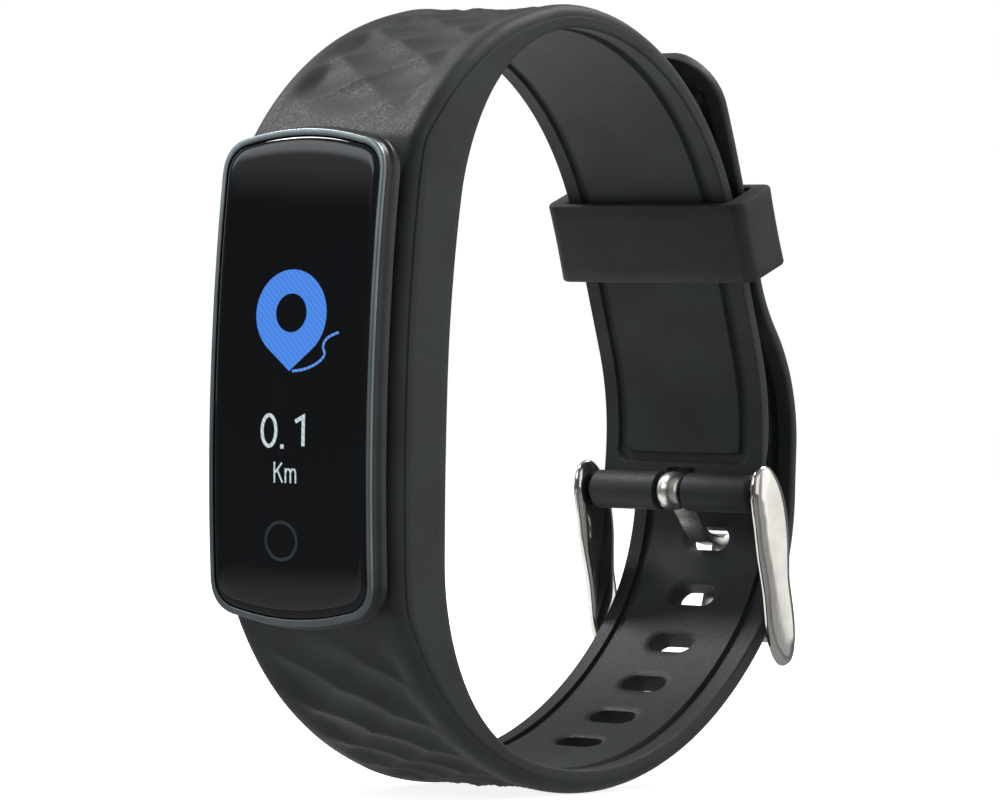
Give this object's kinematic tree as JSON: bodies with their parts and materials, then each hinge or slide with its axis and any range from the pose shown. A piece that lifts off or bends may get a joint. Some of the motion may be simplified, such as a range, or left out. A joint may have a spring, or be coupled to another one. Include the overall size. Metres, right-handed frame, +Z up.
{
  "type": "fitness tracker band",
  "caption": "Wrist activity tracker: a curved glass display pod set in a closed silicone strap with a pin buckle and keeper.",
  "frame": {"origin": "middle of the wrist loop, level with the middle of the display", "axes": "+Z up along the display's long side, +X along the wrist's axis, the display faces -Y"},
  "size_m": [0.023, 0.0712, 0.0731],
  "materials": {
    "strap_silicone": "matt moulded silicone",
    "keeper_silicone": "matt moulded silicone",
    "polished_steel": "polished",
    "bar_steel": "drawn wire",
    "display_glass": "gloss",
    "bezel_metal": "satin",
    "black_foam": "closed foam",
    "housing_plastic": "semi-gloss",
    "screw_steel": "zinc plated",
    "contact_gold": "plated",
    "sensor_lens": "gloss",
    "circuit_board": "solder mask",
    "lamp_resin": "clear resin",
    "chip_resin": "moulded resin",
    "display_stack": "laminated glass",
    "light_film": "white film",
    "flex_film": "polyimide",
    "antenna_ceramic": "ceramic",
    "cell_foil": "foil",
    "motor_can": "pressed",
    "rotor_metal": "sintered"
  },
  "bodies": {
    "strap": {"strap": "strap_silicone", "spring_bar_tube": "bar_steel", "spring_bar_spring": "bar_steel"},
    "keeper": {"keeper": "keeper_silicone"},
    "buckle": {"buckle_frame": "polished_steel"},
    "tang": {"tang": "polished_steel"},
    "left_tip": {"spring_bar_tip_left": "bar_steel"},
    "right_tip": {"spring_bar_tip_right": "bar_steel"},
    "pod": {"glass_lens": "display_glass", "bezel_frame": "bezel_metal", "lens_adhesive": "black_foam", "housing": "housing_plastic", "rear_cover": "housing_plastic", "rear_gasket": "black_foam", "cover_screw_1": "screw_steel", "cover_screw_2": "screw_steel", "cover_screw_3": "screw_steel", "cover_screw_4": "screw_steel", "charge_contact_left": "contact_gold", "charge_contact_right": "contact_gold", "sensor_window": "sensor_lens", "sensor_board": "circuit_board", "sensor_led_left": "lamp_resin", "sensor_led_right": "lamp_resin", "photodiode": "chip_resin", "light_wall": "black_foam", "display_panel": "display_stack", "display_backlight": "light_film", "display_flex": "flex_film", "touch_pad": "flex_film", "main_board": "circuit_board", "processor_chip": "chip_resin", "motion_sensor": "chip_resin", "memory_chip": "chip_resin", "antenna": "antenna_ceramic", "battery_cell": "cell_foil", "battery_board": "circuit_board", "motor_case": "motor_can", "motor_cover": "motor_can", "motor_shaft": "bar_steel"},
    "rotor": {"motor_rotor": "rotor_metal"}
  },
  "joints": [
    {"name": "pod_release", "type": "slide", "parent": "strap", "child": "pod", "axis": [0, -1, 0], "range_m": [0, 0.014]},
    {"name": "keeper_slide", "type": "slide", "parent": "strap", "child": "keeper", "axis": [0, 0.3746, -0.9272], "range_m": [-0.0006, 0.0015]},
    {"name": "buckle_swing", "type": "hinge", "parent": "strap", "child": "buckle", "pos_m": [0, 0.02582, -0.00954], "axis": [1, 0, 0], "range_deg": [0, 2.5]},
    {"name": "tang_pivot", "type": "hinge", "parent": "buckle", "child": "tang", "pos_m": [0, 0.02582, -0.00954], "axis": [1, 0, 0], "range_deg": [0, 1.5]},
    {"name": "left_tip_press", "type": "slide", "parent": "strap", "child": "left_tip", "axis": [1, 0, 0], "range_m": [0, 0.0012], "stiffness_N_per_m": 400, "springref_m": -0.0008, "deforming": ["spring_bar_spring"]},
    {"name": "right_tip_press", "type": "slide", "parent": "strap", "child": "right_tip", "axis": [-1, 0, 0], "range_m": [0, 0.0012], "stiffness_N_per_m": 400, "springref_m": -0.0008, "deforming": ["spring_bar_spring"]},
    {"name": "motor_spin", "type": "hinge", "parent": "pod", "child": "rotor", "pos_m": [0, -0.0295, -0.0104], "axis": [0, 1, 0], "continuous": true}
  ]
}
